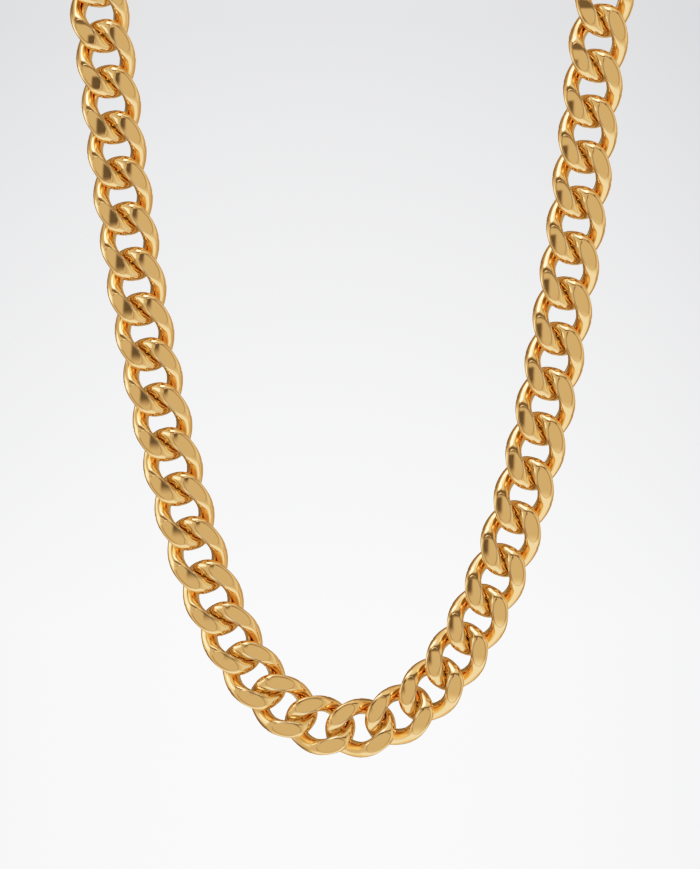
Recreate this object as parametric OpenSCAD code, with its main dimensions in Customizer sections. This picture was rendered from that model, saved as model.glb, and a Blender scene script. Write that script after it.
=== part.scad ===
// Curb chain necklace, about 615 mm round: heavy twisted links of round wire with faces ground flat,
// hanging from the nape of the neck and closed there by a plain barrel clasp.
// Millimetres, +Z up, worn facing -Y. The origin is on the neck side of the clasp's barrel.

/* [Loop] */
// Spread of the loop where its two sides stand widest apart, between the middles of the chain
loop_w = 114; // [108:1:124]
// Depth of the loop from the nape to the front
loop_depth = 87; // [82:1:100]
// Drop of the loop from the nape to its bottom
loop_drop = 201; // [185:1:240]

/* [Chain] */
// Width of the chain across its face
chain_w = 12; // [11.8:0.1:13]
// Thickness of the chain over its ground faces
chain_t = 6; // [4.8:0.1:7]
// Diameter of the round wire
wire_d = 3.2; // [2.8:0.05:3.25]
// Outside length of one link
link_l = 16.1; // [15.6:0.1:16.8]
// Slack between the ends of neighbouring links on a straight stretch
link_play = 0.5; // [0.35:0.05:0.8]

/* [Link shape] */
// Angle that each end of a link is turned out of the chain's face
end_turn = 38; // [35:1:46]
// Share of a link's half length over which that turn builds up
turn_reach = 0.8; // [0.6:0.05:1]
// How square a link's oval is, where 2 is a plain ellipse
squareness = 2.6; // [2.4:0.1:3]

/* [Hang] */
// Share of the spacing that the links lose where they crowd at the bottom of the loop
crowding = 0.105; // [0.05:0.005:0.11]
// Distance along the chain over which the crowding dies away
crowd_reach = 31; // [20:1:45]
// Distance past the bottom, towards the wearer's left, at which the links crowd most
crowd_shift = 7; // [0:1:9]

/* [Clasp] */
// Length of the clasp's barrel
barrel_l = 18; // [15:1:20]
// Diameter of the clasp's barrel
barrel_d = 10; // [9:0.5:14]
// Chamfer on the rims of the barrel
barrel_chamfer = 0.8; // [0.3:0.1:1.5]
// Diameter of the wire of the clasp's eyes
eye_wire = 2.2; // [1.8:0.1:2.4]
// Clearance between an eye and the link that hangs in it
eye_play = 0.5; // [0.4:0.05:0.8]
// Angle that each eye is turned out of the chain's face, in degrees
eye_turn = 50; // [45:1:60]
// Clearance between the end of the barrel and the link that hangs in its eye
barrel_play = 0.6; // [0.4:0.1:1.5]

/* [Hidden] */
gold = [0.85, 0.64, 0.33];

// Where the middle of the chain runs, from the clasp down the wearer's right side and back up.
// x, y and z are measured from the middle of the neck at the height of the clasp's axis. turn is
// where the chain's face looks, 0 to the front and 180 to the back, and rise is how far it looks up.
route = [
    // x, y, z, turn, rise
    [-1, 0, 0, -180, 45],
    [-25.1, -3.5, -1, -150, 48],
    [-44.6, -15.5, -5, -114, 50],
    [-54.5, -36, -11, -78, 52],
    [-55.9, -58, -20, -48, 50],
    [-54.4, -75, -33, -21, 38],
    [-52, -84.5, -48, -7, 18],
    [-49.5, -87, -64, 0, 4],
    [-46.7, -87, -87, 0, 0],
    [-41.8, -87, -119.5, 0, 0],
    [-36.2, -87, -146.8, 0, 0],
    [-29.7, -87, -169.7, 0, 0],
    [-24.4, -87, -182.5, 0, 0],
    [-19.6, -87, -190.6, 0, 0],
    [-13.1, -87, -197.3, 0, 0],
    [-5.8, -87, -201, 0, 0],
    [5, -87, -200.9, 0, 0],
    [12, -87, -197.4, 0, 0],
    [18.6, -87, -190.7, 0, 0],
    [24.3, -87, -181.7, 0, 0],
    [29, -87, -171.6, 0, 0],
    [34.7, -87, -154.3, 0, 0],
    [39.8, -87, -132.5, 0, 0],
    [44, -87, -107.7, 0, 0],
    [47.2, -87, -83.7, 0, 0],
    [49.5, -87, -64, 0, 4],
    [52, -84.5, -48, 7, 18],
    [55.8, -75, -33, 21, 38],
    [58.1, -58, -20, 48, 50],
    [56, -36, -11, 78, 52],
    [45.5, -15.5, -5, 114, 50],
    [24.1, -3.5, -1, 150, 48],
    [-1, 0, 0, 180, 45],
];
// The same points stretched to the loop's width, depth and drop
function reach(k) = let (v = [for (r = route) r[k]]) max(v) - min(v);
stretch = [loop_w / reach(0), loop_depth / reach(1), loop_drop / reach(2), 1, 1];
points = [for (r = route) [for (k = [0:len(r) - 1]) r[k] * stretch[k]]];
// The clasp's axis stands off the neck by the barrel's radius
stand_off = [0, barrel_d / 2, 0];
// How finely the route, the links and the round parts are cut
path_steps = 12;
probe = 4;
link_around = 16;
wire_sides = 6;
tangent_step = 4;
round_fn = 96;

// A link's half length and half width, both at the middle of its wire
half_l = (link_l - wire_d) / 2;
half_w = (chain_w - wire_d) / 2;
pitch = link_l - 2 * wire_d - link_play;

// The eyes are half rings whose middle lies this far from the middle of the clasp
eye_r = (wire_d + eye_wire) / 2 + eye_play;
eye_x = barrel_l / 2 + barrel_play + wire_d / 2;
// Distance along the route from the middle of the clasp to the middle of its neighbouring link
first_link = eye_x + eye_r - (wire_d + eye_wire) / 2 - eye_play + half_l;

function unit(v) = v / norm(v);
function place(v) = [v[0], v[1], v[2]];
function running_sum(v) = [for (i = 0, a = 0; i <= len(v); a = a + (i < len(v) ? v[i] : 0), i = i + 1) a];

// The route as a smooth closed curve, one cubic for each span between two rows
last_row = len(points) - 1;
function span(i) = norm(place(points[i + 1] - points[i]));
function slope(i) = (points[i + 1] - points[i]) / span(i);
function tangent(i) =
    let (before = i == 0 ? last_row - 1 : i - 1, after = i == last_row ? 0 : i)
    (slope(before) * span(after) + slope(after) * span(before)) / (span(before) + span(after));
function on_span(i, u) =
    (2 * u ^ 3 - 3 * u ^ 2 + 1) * points[i] + (u ^ 3 - 2 * u ^ 2 + u) * span(i) * tangent(i)
    + (3 * u ^ 2 - 2 * u ^ 3) * points[i + 1] + (u ^ 3 - u ^ 2) * span(i) * tangent(i + 1);
path = concat(
    [for (i = [0:last_row - 1], k = [0:path_steps - 1]) on_span(i, k / path_steps)],
    [points[last_row]]);

// Distance along the path, and how many links fit up to there
steps = [for (i = [0:len(path) - 2]) norm(place(path[i + 1] - path[i]))];
distance = running_sum(steps);
heights = [for (p = path) p[2]];
bottom = distance[search(min(heights), heights)[0]];
function spacing(s) = pitch * (1 - crowding * exp(-abs((s - bottom - crowd_shift) / crowd_reach) ^ 3 / 2));
counts = running_sum([for (i = [0:len(steps) - 1]) steps[i] / spacing((distance[i] + distance[i + 1]) / 2)]);
count_at = [for (i = [0:len(path) - 1]) [distance[i], counts[i]]];
distance_at = [for (i = [0:len(path) - 1]) [counts[i], distance[i]]];
columns = [for (k = [0:4]) [for (i = [0:len(path) - 1]) [distance[i], path[i][k]]]];

// The links between the two eyes, evenly spaced in links: the loop holds a whole number of them
first_count = lookup(first_link, count_at);
last_count = lookup(distance[len(path) - 1] - first_link, count_at);
link_n = round(last_count - first_count) + 1;
stations = [for (k = [0:link_n - 1])
    lookup(first_count + (last_count - first_count) * k / (link_n - 1), distance_at)];
left_n = ceil(link_n / 2);

function row_at(s) = [for (c = columns) lookup(s, c)];
function along(s) = unit(place(row_at(s + probe) - row_at(s - probe)));
function face(s) =
    let (r = row_at(s), turn = r[3], rise = r[4])
    [sin(turn) * cos(rise), -cos(turn) * cos(rise), sin(rise)];
// A frame with X along the chain, Y across its face and Z out of its face
function frame(middle, x, looks) =
    let (z = unit(looks - x * (looks * x)), y = cross(z, x))
    [for (k = [0:2]) [x[k], y[k], z[k], middle[k]]];

// The middle of a link's wire: a squared oval whose two ends are turned opposite ways out of the face
function wire_middle(a) =
    let (
        x = half_l * sign(cos(a)) * abs(cos(a)) ^ (2 / squareness),
        r = half_w * sign(sin(a)) * abs(sin(a)) ^ (2 / squareness),
        turn = -end_turn * sign(x) * sin(90 * min(1, abs(x) / half_l / turn_reach))
    )
    [x, r * cos(turn), r * sin(turn)];
// A ring of points round the wire, ground flat at the chain's two faces
function wire_ring(a) =
    let (
        x = unit(wire_middle(a + tangent_step) - wire_middle(a - tangent_step)),
        z = unit([0, 0, 1] - x * x[2]),
        y = cross(x, z)
    )
    [for (j = [0:wire_sides - 1])
        let (
            turn = 360 * j / wire_sides,
            p = wire_middle(a) + wire_d / 2 * (cos(turn) * z + sin(turn) * y)
        )
        [p[0], p[1], max(-chain_t / 2, min(chain_t / 2, p[2]))]];

link_points = [for (i = [0:link_around - 1]) each wire_ring(360 * i / link_around)];
function corner(i, j) = (i % link_around) * wire_sides + j % wire_sides;
link_faces = [for (i = [0:link_around - 1], j = [0:wire_sides - 1]) each [
    [corner(i, j), corner(i + 1, j), corner(i + 1, j + 1)],
    [corner(i, j), corner(i + 1, j + 1), corner(i, j + 1)]
]];

module chain_link() {
    polyhedron(points = link_points, faces = link_faces, convexity = 6);
}

module chain(first, last) {
    for (k = [first:last])
        multmatrix(frame(place(row_at(stations[k])) + stand_off, along(stations[k]), face(stations[k])))
            chain_link();
}

// Half the chain, from the clasp to the bottom of the loop, down the wearer's right side
module left_chain() {
    color(gold) chain(0, left_n - 1);
}

// The other half, from the bottom of the loop up the wearer's left side to the clasp
module right_chain() {
    color(gold) chain(left_n, link_n - 1);
}

// A half ring on two legs that reach into the barrel, towards +X
module eye() {
    rotate([0, 0, -90])
        rotate_extrude(angle = 180, $fn = round_fn)
            translate([eye_r, 0])
                circle(d = eye_wire, $fn = round_fn);
    for (side = [-1, 1])
        translate([0, side * eye_r, 0])
            rotate([0, -90, 0])
                cylinder(h = eye_x - barrel_l / 2 + 2 * barrel_chamfer, d = eye_wire, $fn = round_fn);
}

module barrel() {
    r = barrel_d / 2;
    rotate([0, 90, 0])
        rotate_extrude($fn = round_fn)
            polygon([
                [0, -barrel_l / 2],
                [r - barrel_chamfer, -barrel_l / 2],
                [r, -barrel_l / 2 + barrel_chamfer],
                [r, barrel_l / 2 - barrel_chamfer],
                [r - barrel_chamfer, barrel_l / 2],
                [0, barrel_l / 2],
            ]);
}

// The closed clasp behind the neck, with an eye at each end turned to meet its link
module clasp() {
    color(gold)
        multmatrix(frame(place(points[0]) + stand_off, [-1, 0, 0], face(0))) {
            barrel();
            rotate([-eye_turn, 0, 0]) translate([eye_x, 0, 0]) eye();
            rotate([eye_turn, 0, 0]) translate([-eye_x, 0, 0]) rotate([0, 0, 180]) eye();
        }
}

left_chain();
right_chain();
clasp();
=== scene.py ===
import math

import bmesh
import bpy
import numpy as np
from mathutils import Matrix, Vector


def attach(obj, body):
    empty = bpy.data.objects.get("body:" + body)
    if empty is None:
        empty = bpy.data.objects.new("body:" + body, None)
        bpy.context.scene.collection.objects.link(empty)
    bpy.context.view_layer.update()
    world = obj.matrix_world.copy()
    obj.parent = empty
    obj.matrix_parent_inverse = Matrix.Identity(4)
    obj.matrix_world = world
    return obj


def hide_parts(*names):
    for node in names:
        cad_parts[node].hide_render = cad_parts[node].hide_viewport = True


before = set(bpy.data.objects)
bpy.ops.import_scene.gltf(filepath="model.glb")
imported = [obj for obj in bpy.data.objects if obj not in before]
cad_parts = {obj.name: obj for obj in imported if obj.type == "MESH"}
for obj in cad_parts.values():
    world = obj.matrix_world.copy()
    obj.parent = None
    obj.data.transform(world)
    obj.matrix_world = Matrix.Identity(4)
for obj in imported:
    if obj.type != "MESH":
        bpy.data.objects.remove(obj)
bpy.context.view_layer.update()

# Links
# Each link is one length of round gold-plated brass wire, bent to a squared oval, twisted and soldered
# shut. The finished chain is pressed and ground, which leaves two flat faces on each link's front and back.

# The middle line of the wire, and the turn at the link's ends that lets the chain lie flat
half_length = 0.00638
half_width = 0.00435
squareness = 2.66
end_turn = math.radians(40)
turn_reach = 1.03

# The wire from its middle to its surface, with a wider inner side where neighbouring links press on it
wire_height = 0.0016
wire_width = 0.001656
inner_bulge = 0.26
press_middle = math.radians(30)
press_reach = math.radians(64)

# The ground faces: how high they stand, how they curve and fall away, and how their rim is rounded
ground_height = 0.0030
ground_middle = (0.00358, 0.00304)
ground_crown = 38.0
ground_fall = (-0.107, 0.1)
ground_rim = 0.0002
rim_angle = math.radians(13)
rim_share = 0.6
rim_softness = 0.25

# How far round the wire a ground face reaches at least, and how its rows open out past its ends
least_edge = 0.3
open_edge = math.radians(45)
open_reach = 0.8

# Stations round the link, and rows round the wire, of which some lie on a ground face and at its rim.
# Points closer together than same_place are one point.
stations = 84
sides = 36
face_rows = 3
rim_rows = 4
same_place = 1e-6

# The polished oval on each ground face, with a fine step, and painted shade in a thin dark line round it
face_middle = (0.0036, 0.0032)
face_half_length = 0.0031
face_half_width = 0.0013
face_lean = math.radians(27)
face_depth = 0.0004
face_step = 0.00005
face_step_reach = 0.00009
outline_reach = 0.0005
crease_width = 0.00015
crease_shade_strength = 0.85

# The side that faces the hole, and the ends that lie in each other. A polishing wheel doesn't reach them,
# so their plate is rougher; the paler, less red tone painted over them is painted light, for the light that
# bounces between the links
side_shelter_start = 0.5
side_shelter_rise = 3.5
end_shelter_reach = math.radians(25)
end_shelter_rise = 4
end_shelter = 0.6

# The plate's colours, its slight waves and fine grain, and how rough each part of it is
gold_colour = (0.95, 0.615, 0.29, 1)
# The paler tone painted over the recesses as painted light; on the clasp it is the colour of the worn
# patches
painted_recess_and_wear_colour = (0.8, 0.63, 0.38, 1)
# The painted shade in the thin dark line round each oval
painted_crease_shade_colour = (0.22, 0.12, 0.045, 1)
wave_scale = 700.0
wave_height = 0.000012
grain_scale = 4000.0
grain_height = 0.000002
polished_roughness = 0.015
oval_roughness = 0.02
oval_grain = 0.04
wave_roughness = 0.02
sheltered_roughness = 0.12
recess_tone_base = 0.7
recess_tone_waves = 0.5
sheltered_grain_loss = 0.7


class Term:
    """A number or a vector in a node tree; arithmetic on it adds Math and Vector Math nodes."""

    def __init__(self, socket):
        self.socket = socket

    def __add__(self, other):
        return reckon("ADD", self, other)

    def __radd__(self, other):
        return reckon("ADD", other, self)

    def __sub__(self, other):
        return reckon("SUBTRACT", self, other)

    def __rsub__(self, other):
        return reckon("SUBTRACT", other, self)

    def __mul__(self, other):
        return reckon("MULTIPLY", self, other)

    def __rmul__(self, other):
        return reckon("MULTIPLY", other, self)

    def __truediv__(self, other):
        return reckon("DIVIDE", self, other)

    def __rtruediv__(self, other):
        return reckon("DIVIDE", other, self)

    def __pow__(self, other):
        return reckon("POWER", self, other)

    def __neg__(self):
        return reckon("MULTIPLY", self, -1)


def add(tree, kind, entries=None, **settings):
    """A node with its settings, and with what each input gets, by the input's name or number."""
    node = tree.nodes.new(kind)
    for name, value in settings.items():
        setattr(node, name, value)
    for name, value in (entries or {}).items():
        if isinstance(value, Term):
            tree.links.new(value.socket, node.inputs[name])
        else:
            node.inputs[name].default_value = value
    return node


def reckon(operation, *values):
    """What comes out of one Math node, or of one Vector Math node where a value is a vector."""
    sockets = [value.socket for value in values if isinstance(value, Term)]
    tree = sockets[0].id_data
    if all(socket.type != "VECTOR" for socket in sockets):
        return Term(add(tree, "ShaderNodeMath", dict(enumerate(values)), operation=operation).outputs[0])
    entries = {}
    for number, value in enumerate(values):
        entries[number] = (value,) * 3 if isinstance(value, (int, float)) else value
    node = add(tree, "ShaderNodeVectorMath", entries, operation=operation)
    return Term(node.outputs["Value" if operation == "DOT_PRODUCT" else "Vector"])


def least(a, b):
    return reckon("MINIMUM", a, b)


def most(a, b):
    return reckon("MAXIMUM", a, b)


def between(value, low, high):
    return least(most(value, low), high)


def rising(value, low, high):
    """0 below low, 1 above high and smooth between."""
    share = between((value - low) / (high - low), 0, 1)
    return share * share * (3 - 2 * share)


def size(value):
    """The number without its sign."""
    return reckon("ABSOLUTE", value)


def unit(vector):
    return reckon("NORMALIZE", vector)


def joined(x, y, z):
    """A vector of three numbers."""
    return Term(add(x.socket.id_data, "ShaderNodeCombineXYZ", {"X": x, "Y": y, "Z": z}).outputs[0])


def parts(vector):
    """The three numbers of a vector."""
    node = add(vector.socket.id_data, "ShaderNodeSeparateXYZ", {0: vector})
    return [Term(socket) for socket in node.outputs]


def new_tree(name, inputs):
    """An empty node group with a geometry in and out, and its named inputs as terms."""
    tree = bpy.data.node_groups.new(name, "GeometryNodeTree")
    tree.interface.new_socket("Geometry", in_out="INPUT", socket_type="NodeSocketGeometry")
    tree.interface.new_socket("Geometry", in_out="OUTPUT", socket_type="NodeSocketGeometry")
    for label, kind in inputs.items():
        tree.interface.new_socket(label, in_out="INPUT", socket_type="NodeSocket" + kind)
    entry = tree.nodes.new("NodeGroupInput")
    return tree, {socket.name: Term(socket) for socket in entry.outputs if socket.name}


link_sizes = {
    "Half length": half_length,
    "Half width": half_width,
    "Wire height": wire_height,
    "Wire width": wire_width,
    "Inner bulge": inner_bulge,
    "End turn": end_turn,
    "Turn reach": turn_reach,
    "Squareness": squareness,
    "Ground height": ground_height,
    "Ground rim": ground_rim,
    "Crown": ground_crown,
    "Rim angle": rim_angle,
}
link_inputs = {name: "Float" for name in link_sizes}
link_inputs.update({"Stations": "Int", "Sides": "Int", "Material": "Material"})
link_tree, given = new_tree("twisted links", link_inputs)


def wire_middle(turned):
    """The wire's middle at an angle round the link: X along the chain, Y across it, Z out of its face."""
    cosine = reckon("COSINE", turned)
    sine = reckon("SINE", turned)
    power = given["Squareness"]
    reach = (size(cosine) ** power + size(sine) ** power) ** (-1 / power)
    along = given["Half length"] * cosine * reach
    across = given["Half width"] * sine * reach
    share = between(along / (given["Half length"] * given["Turn reach"]), -1, 1)
    turn = -given["End turn"] * reckon("SINE", share * (math.pi / 2))
    return joined(along, across * reckon("COSINE", turn), across * reckon("SINE", turn))


def ground_level(x, y):
    """How high the ground face stands there: slightly crowned, and falling off to the link's outer side."""
    along = size(x) - ground_middle[0]
    across = size(y) - ground_middle[1]
    crown = given["Crown"] * (along * along + across * across)
    return given["Ground height"] - crown - ground_fall[0] * along - ground_fall[1] * across


# A square grid is rolled up: its X runs round the link and its Y round the wire
grid = add(link_tree, "GeometryNodeMeshGrid", {
    "Size X": 1.0,
    "Size Y": 1.0,
    "Vertices X": given["Stations"] + 1,
    "Vertices Y": given["Sides"] + 1,
})
flat_place = Term(add(link_tree, "GeometryNodeInputPosition").outputs[0])
round_link, round_wire, _ = parts(flat_place + (0.5, 0.5, 0))
around = round_link * (2 * math.pi)
from_end = size(round_link * 4 - reckon("ROUND", round_link * 2) * 2) * (math.pi / 2)

# The wire's own directions at a station, from two places on its middle a small turn away
small_turn = 0.02
middle = wire_middle(around)
forward = unit(wire_middle(around + small_turn) - wire_middle(around - small_turn))
forward_x, forward_y, forward_z = parts(forward)
up = unit(joined(-1 * forward_x * forward_z, -1 * forward_y * forward_z, 1 - forward_z * forward_z))
inward = reckon("CROSS_PRODUCT", up, forward)
middle_x, middle_y, middle_z = parts(middle)
up_z = parts(up)[2]

# The face that is ground at a station: 1 the front, -1 the back. Wire that lies level counts as the front
level_wire = -1e-9
ground_side = reckon("GREATER_THAN", middle_z, level_wire) * 2 - 1

# The angle round the wire at which the ground face ends; past its ends the rows open out again
depth = ground_side * middle_z + given["Wire height"] * up_z - ground_level(middle_x, middle_y)
edge_cosine = 1 - (depth - given["Ground rim"]) / (given["Wire height"] * up_z)
ground_edge = reckon("ARCCOSINE", between(edge_cosine, -1, 1))
opening = rising(edge_cosine, 1, 1 + open_reach)
edge = most(ground_edge, least_edge) + opening * (open_edge - least_edge)
rim = least(given["Rim angle"], edge * rim_share)

# Rows of the wire's surface, counted from the middle of the ground face, over its rim and round the back
half_sides = given["Sides"] * 0.5
row = round_wire * given["Sides"] - half_sides
from_face = half_sides * 0.5 + ground_side * (size(row) - half_sides * 0.5)
back_rows = half_sides - (face_rows + rim_rows)
angle = (
    (edge - rim) * least(from_face, face_rows) / face_rows
    + between(from_face - face_rows, 0, rim_rows) * rim * (2 / rim_rows)
    + most(from_face - (face_rows + rim_rows), 0) / back_rows * (math.pi - edge - rim)
)

# The round wire, with the wider inner side between the ground face and the end of the link
on_inner_side = reckon("GREATER_THAN", row, 0)
press = reckon("COSINE", between((from_end - press_middle) / press_reach, -1, 1) * (math.pi / 2))
wider = 1 + given["Inner bulge"] * press * press * on_inner_side
surface = (
    middle
    + up * (given["Wire height"] * ground_side * reckon("COSINE", angle))
    + inward * (given["Wire width"] * wider * reckon("SINE", angle) * reckon("SIGN", row))
)

# What the grinding takes off, with a rounded rim where the face meets the wire
surface_x, surface_y, surface_z = parts(surface)
above = surface_z * ground_side - ground_level(surface_x, surface_y)
near_rim = most(1 - size(above) / given["Ground rim"], 0)
removed = most(above, 0) + near_rim * near_rim * given["Ground rim"] * rim_softness
surface = joined(surface_x, surface_y, surface_z - ground_side * removed)

# How far outside the polished oval each point lies, in metres, for the fine step round it
along = size(surface_x) - face_middle[0]
across = size(surface_y) - face_middle[1]
lengthwise = along * math.cos(face_lean) - across * math.sin(face_lean)
crosswise = along * math.sin(face_lean) + across * math.cos(face_lean)
reach = reckon("SQRT", (lengthwise / face_half_length) ** 2 + (crosswise / face_half_width) ** 2)
slope = reckon("SQRT", (lengthwise / face_half_length**2) ** 2 + (crosswise / face_half_width**2) ** 2)
outline = (reach - 1) * reach / most(slope, 1)
outline = between(most(outline, -above - face_depth), -outline_reach, outline_reach)

# Where the plate is rougher, and where the paler tone is painted in as painted light in the recesses
facing_hole = reckon("SINE", angle) * on_inner_side
sheltered_side = between((facing_hole - side_shelter_start) * side_shelter_rise, 0, 1)
sheltered_end = between((end_shelter_reach - from_end) * end_shelter_rise, 0, end_shelter)


def kept_for_plate(geometry, name, value):
    """The geometry with a number kept at each point, which the gold plate reads."""
    node = add(link_tree, "GeometryNodeStoreNamedAttribute", {
        "Geometry": geometry,
        "Name": name,
        "Value": value,
    }, data_type="FLOAT", domain="POINT")
    return Term(node.outputs[0])


outlined = kept_for_plate(Term(grid.outputs["Mesh"]), "outline", outline)
recesses_marked = kept_for_plate(outlined, "sheltered", most(sheltered_side, sheltered_end))
shaped = add(link_tree, "GeometryNodeSetPosition", {"Geometry": recesses_marked, "Position": surface})
closed = add(link_tree, "GeometryNodeMergeByDistance", {
    "Geometry": Term(shaped.outputs[0]),
    "Distance": same_place,
})
smooth = add(link_tree, "GeometryNodeSetShadeSmooth", {"Geometry": Term(closed.outputs[0])})


def vector_of_points(name):
    """A vector that each of the points on which links are set brings along."""
    node = add(link_tree, "GeometryNodeInputNamedAttribute", {"Name": name}, data_type="FLOAT_VECTOR")
    return Term(node.outputs["Attribute"])


lie = add(link_tree, "FunctionNodeAxesToRotation", {
    0: vector_of_points("along"),
    1: vector_of_points("face"),
}, primary_axis="X", secondary_axis="Z")
strung = add(link_tree, "GeometryNodeInstanceOnPoints", {
    "Points": given["Geometry"],
    "Instance": Term(smooth.outputs[0]),
    "Rotation": Term(lie.outputs[0]),
    "Scale": vector_of_points("lengths"),
})
real = add(link_tree, "GeometryNodeRealizeInstances", {"Geometry": Term(strung.outputs[0])})
finished = add(link_tree, "GeometryNodeSetMaterial", {
    "Geometry": Term(real.outputs[0]),
    "Material": given["Material"],
})
add(link_tree, "NodeGroupOutput", {"Geometry": Term(finished.outputs[0])})


def unevenness(tree, scale, detail):
    """Soft clouds from 0 to 1 all through the piece."""
    place = Term(add(tree, "ShaderNodeTexCoord").outputs["Object"])
    clouds = add(tree, "ShaderNodeTexNoise", {"Vector": place, "Scale": scale, "Detail": detail})
    return Term(clouds.outputs["Fac"])


def blended(tree, share, colour_before, colour):
    """One colour where share is 0 and another where it is 1."""
    node = add(tree, "ShaderNodeMix", {0: share, 6: colour_before, 7: colour}, data_type="RGBA")
    return Term(node.outputs[2])


def finish_plate(tree, colour, roughness, height):
    """The plate's shader gets its colour, its roughness and its surface's height in metres."""
    shader = tree.nodes["Principled BSDF"]
    shader.inputs["Metallic"].default_value = 1.0
    bump = add(tree, "ShaderNodeBump", {"Height": height, "Distance": 1.0, "Strength": 1.0})
    tree.links.new(colour.socket, shader.inputs["Base Color"])
    tree.links.new(roughness.socket, shader.inputs["Roughness"])
    tree.links.new(bump.outputs[0], shader.inputs["Normal"])


def gold_plate():
    """Polished yellow gold plate on slightly uneven wire, satin inside the step round each ground oval,
    with painted shade in a thin dark line round each oval and painted light as a paler tone in the
    recesses.
    """
    material = bpy.data.materials.new("gold plate")
    material.use_nodes = True
    tree = material.node_tree
    outline = Term(add(tree, "ShaderNodeAttribute", attribute_name="outline").outputs["Fac"])
    sheltered = Term(add(tree, "ShaderNodeAttribute", attribute_name="sheltered").outputs["Fac"])
    waves = unevenness(tree, wave_scale, detail=2.0)
    grain = unevenness(tree, grain_scale, detail=3.0)
    inside = 1 - rising(outline, -face_step_reach, face_step_reach)
    # Painted shade: a thin dark line along the step round each ground oval
    painted_crease_shade = between(1 - size(outline) / crease_width, 0, 1)
    # Painted light: a paler, less red tone over the hole side and the link ends, mottled by the waves
    painted_recess_tone = between(sheltered * (recess_tone_base + waves * recess_tone_waves), 0, 1)
    colour = blended(tree, painted_recess_tone, gold_colour, painted_recess_and_wear_colour)
    colour = blended(tree, painted_crease_shade * crease_shade_strength, colour, painted_crease_shade_colour)
    roughness = polished_roughness + inside * (oval_roughness + grain * oval_grain)
    roughness = roughness + waves * wave_roughness + sheltered * sheltered_roughness
    height = inside * face_step + (1 - inside) * waves * wave_height
    height = height + grain * (1 - sheltered * sheltered_grain_loss) * grain_height
    finish_plate(tree, colour, roughness, height)
    return material


def placed(name, data):
    """A new object in the scene."""
    item = bpy.data.objects.new(name, data)
    bpy.context.scene.collection.objects.link(item)
    return item


def loose_solids(node):
    """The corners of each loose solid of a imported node."""
    mesh = bmesh.new()
    mesh.from_mesh(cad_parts[node].data)
    bmesh.ops.remove_doubles(mesh, verts=mesh.verts, dist=same_place)
    found = []
    seen = set()
    for start in mesh.verts:
        if start in seen:
            continue
        seen.add(start)
        solid = [start]
        for corner in solid:
            for side in corner.link_edges:
                other = side.other_vert(corner)
                if other not in seen:
                    seen.add(other)
                    solid.append(other)
        found.append(np.array([corner.co for corner in solid]))
    mesh.free()
    return found


# Crowded links at the bottom of the loop lean back a little, and look that much shorter from the front
chain_nodes = ("left_chain", "right_chain")
solids = {node: loose_solids(node) for node in chain_nodes}
all_middles = np.array([corners.mean(0) for found in solids.values() for corners in found])
nearest = np.sort(np.linalg.norm(all_middles[:, None] - all_middles, axis=2), axis=1)[:, 1]
usual_spacing = np.median(nearest)


def string_of_links(name, node, material):
    """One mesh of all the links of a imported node, each where its solid lies."""
    middles = []
    vectors = {"along": [], "face": [], "lengths": []}
    for corners in solids[node]:
        centre = corners.mean(0)
        axes = np.linalg.svd(corners - centre, full_matrices=False)[2]
        spacing = np.sort(np.linalg.norm(all_middles - centre, axis=1))[1:3].mean()
        middles.append(tuple(centre))
        vectors["along"].append(axes[0])
        vectors["face"].append(axes[2])
        vectors["lengths"].append((min(1, spacing / usual_spacing), 1, 1))
    points = bpy.data.meshes.new(name + " points")
    points.from_pydata(middles, [], [])
    for label, values in vectors.items():
        attribute = points.attributes.new(label, "FLOAT_VECTOR", "POINT")
        attribute.data.foreach_set("vector", np.array(values, np.float32).ravel())
    source = placed(name + " points", points)
    modifier = source.modifiers.new("links", "NODES")
    modifier.node_group = link_tree
    values = {**link_sizes, "Stations": stations, "Sides": sides, "Material": material}
    for socket in link_tree.interface.items_tree:
        if socket.name in values:
            modifier[socket.identifier] = values[socket.name]
    depsgraph = bpy.context.evaluated_depsgraph_get()
    shown = source.evaluated_get(depsgraph)
    mesh = bpy.data.meshes.new_from_object(shown, preserve_all_data_layers=True, depsgraph=depsgraph)
    mesh.name = name
    bpy.data.objects.remove(source)
    return placed(name, mesh)


gold = gold_plate()
for node in chain_nodes:
    chain = string_of_links(node + "_links", node, gold)
    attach(chain, "root")
    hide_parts(node)

# Clasp
# One plain closed barrel turned from brass rod and plated like the links. A bent wire eye is soldered into
# each end, and the chain's first and last links hang in the eyes.

# The barrel, its rounded rims, and the fine turned line near each end
barrel_half = 0.009
barrel_radius = 0.005
barrel_rim = 0.0009
line_place = 0.0072
line_depth = 0.00012
line_half_width = 0.00024
rim_steps = 12
line_steps = 6
barrel_around = 96

# The eyes: their wire, its legs from inside the barrel to the bend, and the solder where they enter
eye_wire = 0.0011
eye_radius = 0.0032
eye_root = 0.0074
eye_reach = 0.0112
eye_turn = math.radians(50)
bend_turn = 1.5
solder = 0.0004
leg_steps = 24
bend_steps = 40
wire_around = 32

# The plate on the barrel: turning marks, and patches where it is worn duller
mark_scale = 9000.0
mark_height = 0.000003
wear_scale = 500.0
wear_height = 0.00001
worn_from = 0.35
worn_most = 0.3
turned_roughness = 0.12
mark_roughness = 0.08
wear_roughness = 0.06


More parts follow.
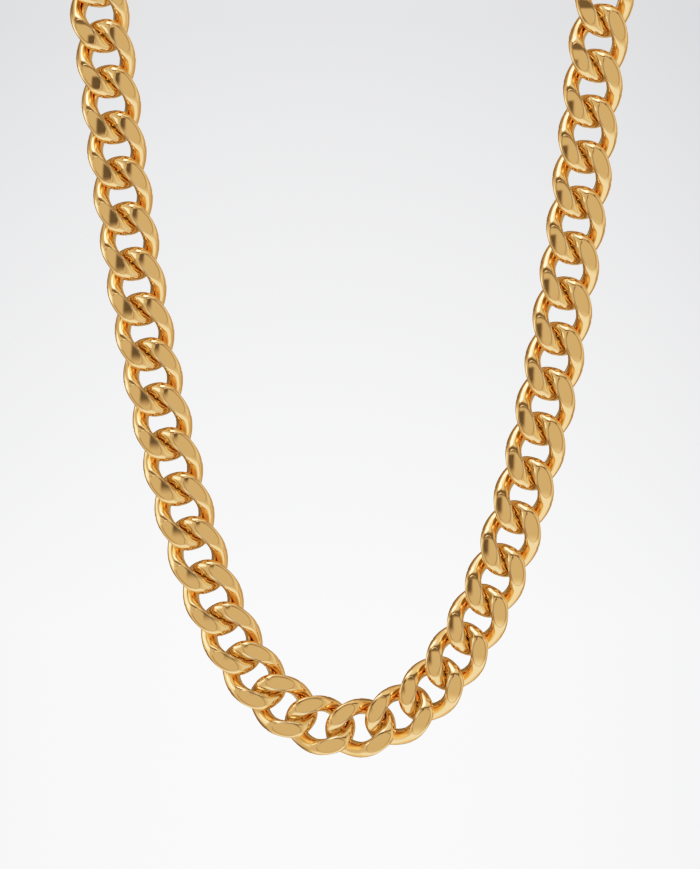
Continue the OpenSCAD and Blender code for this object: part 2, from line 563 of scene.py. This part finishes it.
def barrel_profile():
    """Distance along the barrel and distance from its axis, from the middle of one end to the other's."""
    half = [(0.0, 0.0)]
    for k in range(rim_steps + 1):
        turn = math.pi / 2 * k / rim_steps
        half.append((barrel_rim * (1 - math.cos(turn)), barrel_radius - barrel_rim * (1 - math.sin(turn))))
    for k in range(-line_steps, line_steps + 1):
        dip = line_depth * 0.5 * (1 + math.cos(math.pi * k / line_steps))
        half.append((barrel_half - line_place + line_half_width * k / line_steps, barrel_radius - dip))
    left = [(inwards - barrel_half, radius) for inwards, radius in half]
    return left + [(-x, radius) for x, radius in reversed(left)]


def barrel_rings():
    """The rings of points round the barrel, with one point at the middle of each end."""
    rings = []
    for x, radius in barrel_profile():
        turns = [2 * math.pi * k / barrel_around for k in range(barrel_around if radius else 1)]
        rings.append([(x, radius * math.cos(turn), radius * math.sin(turn)) for turn in turns])
    return rings


def eye_rings(end):
    """A wire from inside the barrel, round the eye and back, with solder where it enters the barrel."""
    legs = [(-1, x) for x in np.linspace(eye_root, eye_reach, leg_steps)]
    bend_turns = np.linspace(-bend_turn, bend_turn, bend_steps)
    bend = [(math.sin(turn), eye_reach + eye_radius * math.cos(turn)) for turn in bend_turns]
    route = legs + bend + [(1, x) for _, x in reversed(legs)]
    way = np.array([(x, side * eye_radius) for side, x in route])
    ahead = np.gradient(way, axis=0)
    ahead /= np.linalg.norm(ahead, axis=1)[:, None]
    tilt = Matrix.Rotation(-end * eye_turn, 3, "X")
    rings = []
    for (x, y), (ahead_x, ahead_y) in zip(way, ahead):
        clear_of_barrel = min(max((x - barrel_half) / solder, 0), 1)
        radius = eye_wire + solder * (1 - clear_of_barrel) ** 2
        ring = []
        for k in range(wire_around):
            turn = 2 * math.pi * k / wire_around
            out = radius * math.cos(turn)
            point = tilt @ Vector((x + ahead_y * out, y - ahead_x * out, radius * math.sin(turn)))
            ring.append((end * point.x, end * point.y, point.z))
        rings.append(ring)
    return [[tuple(np.mean(rings[0], 0))]] + rings + [[tuple(np.mean(rings[-1], 0))]]


def add_rings(mesh, rings):
    """Faces between rings of points; a ring of one point closes the shape."""
    corners = [[mesh.verts.new(place) for place in ring] for ring in rings]
    for ring, following in zip(corners, corners[1:]):
        for k in range(max(len(ring), len(following))):
            loop = [ring[k % len(ring)], following[k % len(following)]]
            loop += [following[(k + 1) % len(following)], ring[(k + 1) % len(ring)]]
            mesh.faces.new(list(dict.fromkeys(loop)))


def turned_gold():
    """The same plate over fine turning marks that run round the barrel."""
    material = bpy.data.materials.new("turned gold plate")
    material.use_nodes = True
    tree = material.node_tree
    along_barrel = parts(Term(add(tree, "ShaderNodeTexCoord").outputs["Object"]))[0]
    marks = Term(add(tree, "ShaderNodeTexNoise", {
        "W": along_barrel,
        "Scale": mark_scale,
        "Detail": 2.0,
    }, noise_dimensions="1D").outputs["Fac"])
    wear = unevenness(tree, wear_scale, detail=4.0)
    worn = between((wear - worn_from) * 2, 0, 1) * worn_most
    colour = blended(tree, worn, gold_colour, painted_recess_and_wear_colour)
    roughness = turned_roughness + marks * mark_roughness + wear * wear_roughness
    height = marks * mark_height + wear * wear_height
    finish_plate(tree, colour, roughness, height)
    return material


clasp_shape = bmesh.new()
for rings in (barrel_rings(), eye_rings(1), eye_rings(-1)):
    add_rings(clasp_shape, rings)
bmesh.ops.recalc_face_normals(clasp_shape, faces=clasp_shape.faces)

# The barrel lies across the nape, with its neck side at the origin
for vertex in clasp_shape.verts:
    x, y, z = vertex.co
    vertex.co = (-x, barrel_radius + z, y)
for face in clasp_shape.faces:
    face.smooth = True
clasp_mesh = bpy.data.meshes.new("barrel_clasp")
clasp_shape.to_mesh(clasp_mesh)
clasp_shape.free()
clasp_mesh.materials.append(turned_gold())
barrel_clasp = placed("barrel_clasp", clasp_mesh)
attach(barrel_clasp, "root")
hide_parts("clasp")

# Studio
# A plain pale floor, a white backdrop that darkens a little upwards and to the sides, a room that is
# brighter and darker by direction, one soft box above and one at the left, a dark card and a long lens.
view_middle = Vector((-0.0002, -0.082, -0.1428))
view_height = 0.1738
camera_distance = 1.2
sensor_width = 36


def flat_sheet(name, middle, side, other_side, paint):
    """A flat sheet round a middle point, as long and wide as its two sides, with a map from 0 to 1."""
    mesh = bpy.data.meshes.new(name)
    shares = ((0, 0), (1, 0), (1, 1), (0, 1))
    places = [middle + side * (across - 0.5) + other_side * (up - 0.5) for across, up in shares]
    mesh.from_pydata([tuple(place) for place in places], [], [(0, 1, 2, 3)])
    for corner, share in zip(mesh.uv_layers.new(name="sheet").data, shares):
        corner.uv = share
    mesh.materials.append(paint)
    return placed(name, mesh)


floor_width = 3.0
floor_height = -0.36
pale_floor = {
    "Base Color": (0.8, 0.8, 0.81, 1),
    "Roughness": 0.9,
    "Emission Color": (1, 1, 1.02, 1),
    "Emission Strength": 1.3,
}
pale = bpy.data.materials.new("pale floor")
pale.use_nodes = True
for name, value in pale_floor.items():
    pale.node_tree.nodes["Principled BSDF"].inputs[name].default_value = value
floor_middle = Vector((0, 0, floor_height))
floor_side = Vector((floor_width, 0, 0))
floor_depth = Vector((0, floor_width, 0))
floor = flat_sheet("floor", floor_middle, floor_side, floor_depth, pale)
floor.visible_glossy = False

# The room's directions: degrees to the right of the direction to the camera, and degrees up
world = bpy.data.worlds.new("studio")
world.use_nodes = True
bpy.context.scene.world = world
room = world.node_tree
direction = Term(add(room, "ShaderNodeTexCoord").outputs["Generated"])
rightwards, backwards, upwards = parts(direction)
degrees = 180 / math.pi
turned_right = reckon("ARCTAN2", rightwards, -backwards) * degrees
raised = reckon("ARCSINE", upwards) * degrees


def band(value, low, high, soft):
    """1 from low to high, with a soft edge outside them."""
    return rising(value, low - soft, low) * (1 - rising(value, high, high + soft))


def glow(away_right, away_up, reach, soft):
    """1 within reach of a direction, in degrees, with a soft edge outside it."""
    turn = math.radians(away_right)
    climb = math.radians(away_up)
    towards = (math.sin(turn) * math.cos(climb), -math.cos(turn) * math.cos(climb), math.sin(climb))
    cosine = reckon("DOT_PRODUCT", direction, towards)
    return rising(cosine, math.cos(math.radians(reach + soft)), math.cos(math.radians(reach)))


# How bright each side of the room is, as the gold reflects it
room_light = 1.1
floor_light = rising(-raised, 28, 50) * 1.1
far_dimness = rising(backwards, 0.1, 0.4) * 0.8
far_wall = rising(backwards, 0.75, 0.95) * 0.35
dim_gap = band(raised, 38, 49, 5) * band(turned_right, -55, 55, 20) * 0.9
ceiling = rising(raised, 52, 62) * 0.5
ceiling_lamp = glow(-60, 66, 8, 14) * 2.2
left_window = band(turned_right, -120, -84, 14) * band(raised, 2, 16, 14) * 1.1
right_wall = rising(turned_right, 48, 76) * band(raised, -22, 24, 12) * 0.5
lit_backdrop = rising(backwards, 0.97, 0.995) * 2.4
level = room_light + floor_light - far_dimness + far_wall - dim_gap
level = level + ceiling + ceiling_lamp + left_window + right_wall + lit_backdrop

# How bright the backdrop is to the camera alone: white below, greyer above and at both sides
backdrop_white = 3.14
upward_fall = 1.57
upward_start = -0.031
upward_reach = 0.1
upward_power = 0.8
sideways_middle = -0.006
sideways_fall = 50
most_sideways_fall = 0.25
climb = between((upwards - upward_start) / upward_reach, 0, 1) ** upward_power
sideways = least((rightwards - sideways_middle) ** 2 * sideways_fall, most_sideways_fall)
backdrop = (backdrop_white - climb * upward_fall) * (1 - sideways)
is_seen = Term(add(room, "ShaderNodeLightPath").outputs["Is Camera Ray"])
level = level + is_seen * (backdrop - level)
room.links.new(level.socket, room.nodes["Background"].inputs["Strength"])

# The room's colour: warm where it is dim, warmer still behind the piece, and nearly white to the camera
dim_colour = (1, 0.777, 0.495, 1)
bright_colour = (1, 0.86, 0.72, 1)
behind_colour = (1, 0.7, 0.4, 1)
backdrop_colour = (0.99, 1, 1.03, 1)
behind = rising(backwards, 0.1, 0.35) * (1 - rising(backwards, 0.93, 0.98))
tint = blended(room, rising(level, 1.3, 2.4), dim_colour, bright_colour)
tint = blended(room, behind, tint, behind_colour)
tint = blended(room, is_seen, tint, backdrop_colour)
room.links.new(tint.socket, room.nodes["Background"].inputs["Color"])

box_colour = (1, 0.88, 0.76)


def soft_box(name, place, width, height, brightness):
    """A soft box that faces the strands; its brightness is that of each spot of its front."""
    data = bpy.data.lights.new(name, "AREA")
    data.shape = "RECTANGLE"
    data.size = width
    data.size_y = height
    data.energy = brightness * math.pi * width * height
    data.color = box_colour
    light = placed(name, data)
    light.location = place
    light.rotation_euler = (view_middle - Vector(place)).to_track_quat("-Z", "Y").to_euler()
    light.visible_camera = False


soft_box("top box", (-0.45, -0.35, 0.9), 0.5, 0.4, 2.5)
soft_box("left box", (-0.27, -0.1, -0.075), 0.22, 0.11, 1.8)

# A dark card with soft edges, left of the lens, which only the gold's reflections show
card_middle = Vector((-0.075, -0.362, -0.065))
card_width = 0.14
card_height = 0.23
card_colour = (0.02, 0.02, 0.02, 1)
card_strength = 0.88
card_paint = bpy.data.materials.new("dark card")
card_paint.use_nodes = True
tree = card_paint.node_tree
tree.nodes.remove(tree.nodes["Principled BSDF"])
across_card, up_card, _ = parts(Term(add(tree, "ShaderNodeUVMap", uv_map="sheet").outputs[0]))
left_edge = rising(across_card, 0.0, 0.2)
right_edge = 1 - rising(across_card, 0.78, 1.0)
lower_edge = rising(up_card, 0.0, 0.4)
upper_edge = 1 - rising(up_card, 0.85, 1.0)
solid = left_edge * right_edge * lower_edge * upper_edge * card_strength
clear = add(tree, "ShaderNodeBsdfTransparent")
dark = add(tree, "ShaderNodeBsdfDiffuse", {"Color": card_colour})
mixed = add(tree, "ShaderNodeMixShader", {0: solid, 1: Term(clear.outputs[0]), 2: Term(dark.outputs[0])})
tree.links.new(mixed.outputs[0], tree.nodes["Material Output"].inputs["Surface"])
card_side = Vector((card_width, 0, 0))
card_upright = Vector((0, 0, card_height))
card = flat_sheet("dark card", card_middle, card_side, card_upright, card_paint)
card.visible_camera = False
card.visible_diffuse = False
card.visible_shadow = False

# The lens is level with the middle of what the photograph shows, and its sensor spans the picture's height
lens = bpy.data.cameras.new("camera")
lens.sensor_width = sensor_width
lens.sensor_fit = "AUTO"
lens.lens = sensor_width * camera_distance / view_height
camera = placed("camera", lens)
camera.location = view_middle + Vector((0, -camera_distance, 0))
camera.rotation_euler = (math.radians(90), 0, 0)
bpy.context.scene.camera = camera

# The film's soft shoulder: bright gold turns cream before it clips
film_white = 5.0
view = bpy.context.scene.view_settings
view.view_transform = "Standard"
view.use_curve_mapping = True
film = view.curve_mapping
film.white_level = (film_white, film_white, film_white)
tone = film.curves[3]
for share in (0.03, 0.07, 0.13, 0.2, 0.3, 0.45, 0.65):
    tone.points.new(share, 1 - math.exp(-share * film_white))
tone.points[-1].location = (1, 1)
film.update()
